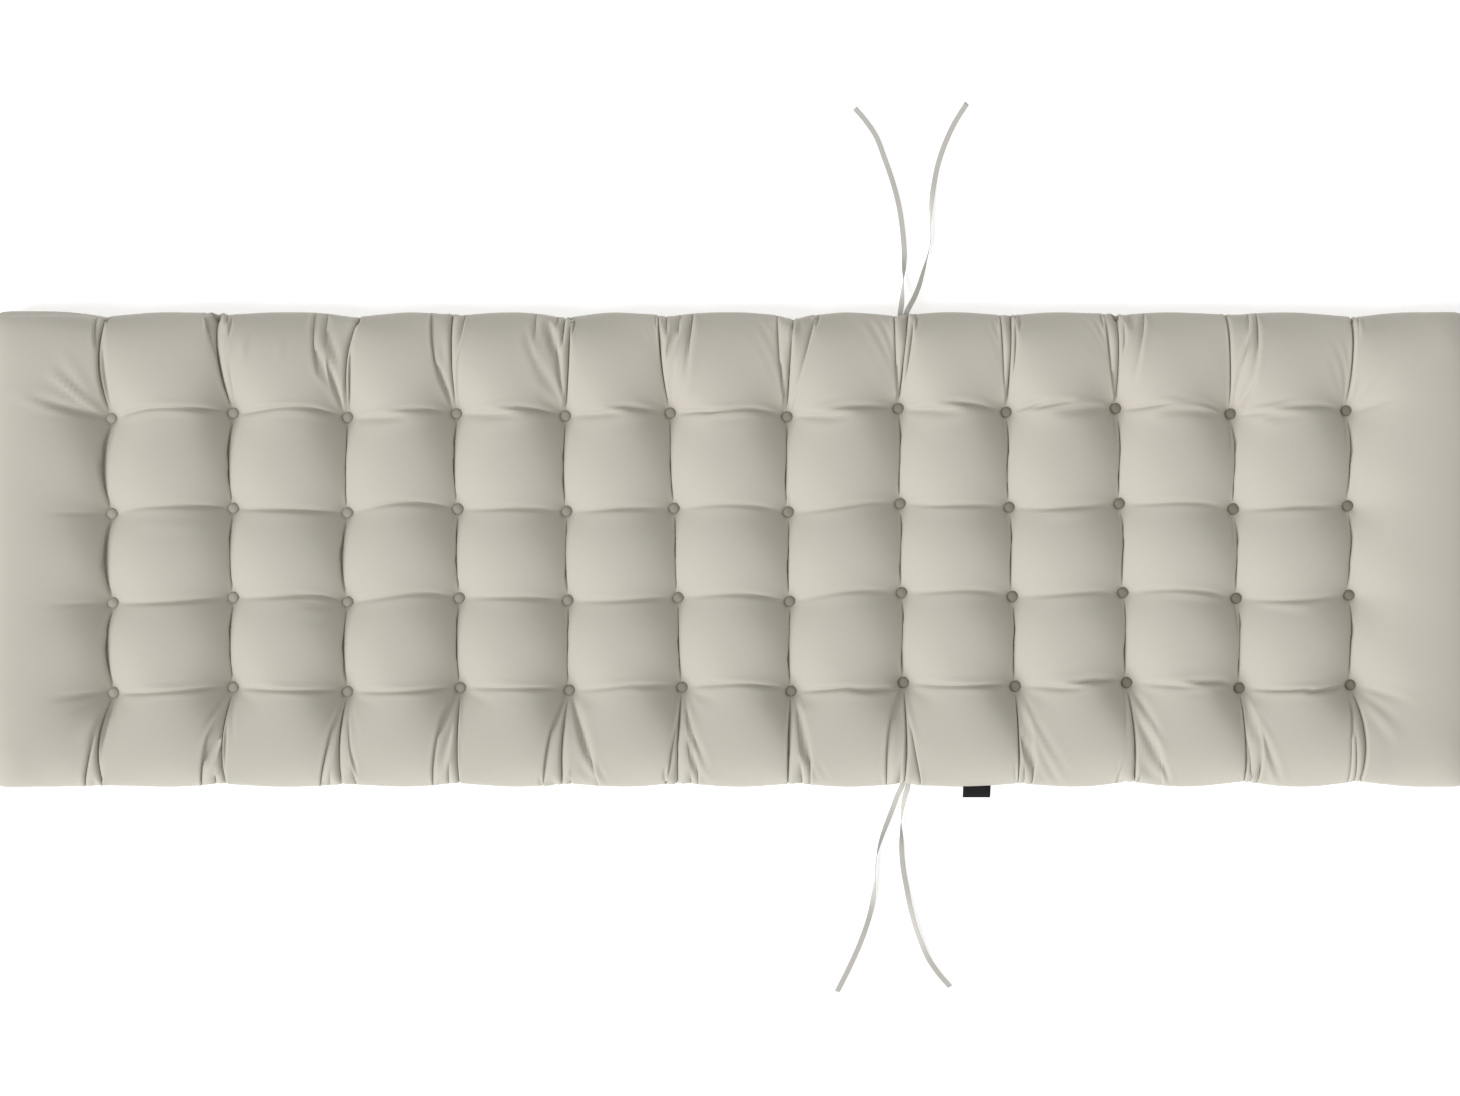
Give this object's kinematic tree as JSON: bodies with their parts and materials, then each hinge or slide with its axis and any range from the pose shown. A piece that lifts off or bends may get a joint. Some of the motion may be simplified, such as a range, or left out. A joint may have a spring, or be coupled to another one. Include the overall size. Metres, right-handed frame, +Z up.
{
  "type": "sun lounger cushion",
  "caption": "Long tufted sun lounger pad of plain canvas, pulled down by rows of covered buttons into soft puffs, with flat tape ties and a blank side tab.",
  "frame": {"origin": "on the surface the cushion lies on, below the middle of its length and width", "axes": "+X along the cushion, +Y across it, +Z up out of the tufted side"},
  "size_m": [1.9, 1.1364, 0.06],
  "materials": {
    "canvas": "matt woven polyester canvas, warm light grey",
    "button_canvas": "the same canvas gathered over a button mould",
    "tape": "flat woven tape in the same colour",
    "label_black": "matt black woven ribbon, blank"
  },
  "bodies": {
    "root": {"cushion": "canvas", "button_r1_c01": "button_canvas", "button_r1_c02": "button_canvas", "button_r1_c03": "button_canvas", "button_r1_c04": "button_canvas", "button_r1_c05": "button_canvas", "button_r1_c06": "button_canvas", "button_r1_c07": "button_canvas", "button_r1_c08": "button_canvas", "button_r1_c09": "button_canvas", "button_r1_c10": "button_canvas", "button_r1_c11": "button_canvas", "button_r1_c12": "button_canvas", "button_r2_c01": "button_canvas", "button_r2_c02": "button_canvas", "button_r2_c03": "button_canvas", "button_r2_c04": "button_canvas", "button_r2_c05": "button_canvas", "button_r2_c06": "button_canvas", "button_r2_c07": "button_canvas", "button_r2_c08": "button_canvas", "button_r2_c09": "button_canvas", "button_r2_c10": "button_canvas", "button_r2_c11": "button_canvas", "button_r2_c12": "button_canvas", "button_r3_c01": "button_canvas", "button_r3_c02": "button_canvas", "button_r3_c03": "button_canvas", "button_r3_c04": "button_canvas", "button_r3_c05": "button_canvas", "button_r3_c06": "button_canvas", "button_r3_c07": "button_canvas", "button_r3_c08": "button_canvas", "button_r3_c09": "button_canvas", "button_r3_c10": "button_canvas", "button_r3_c11": "button_canvas", "button_r3_c12": "button_canvas", "button_r4_c01": "button_canvas", "button_r4_c02": "button_canvas", "button_r4_c03": "button_canvas", "button_r4_c04": "button_canvas", "button_r4_c05": "button_canvas", "button_r4_c06": "button_canvas", "button_r4_c07": "button_canvas", "button_r4_c08": "button_canvas", "button_r4_c09": "button_canvas", "button_r4_c10": "button_canvas", "button_r4_c11": "button_canvas", "button_r4_c12": "button_canvas", "tie_nw": "tape", "tie_ne": "tape", "tie_sw": "tape", "tie_se": "tape", "label": "label_black"}
  },
  "joints": []
}
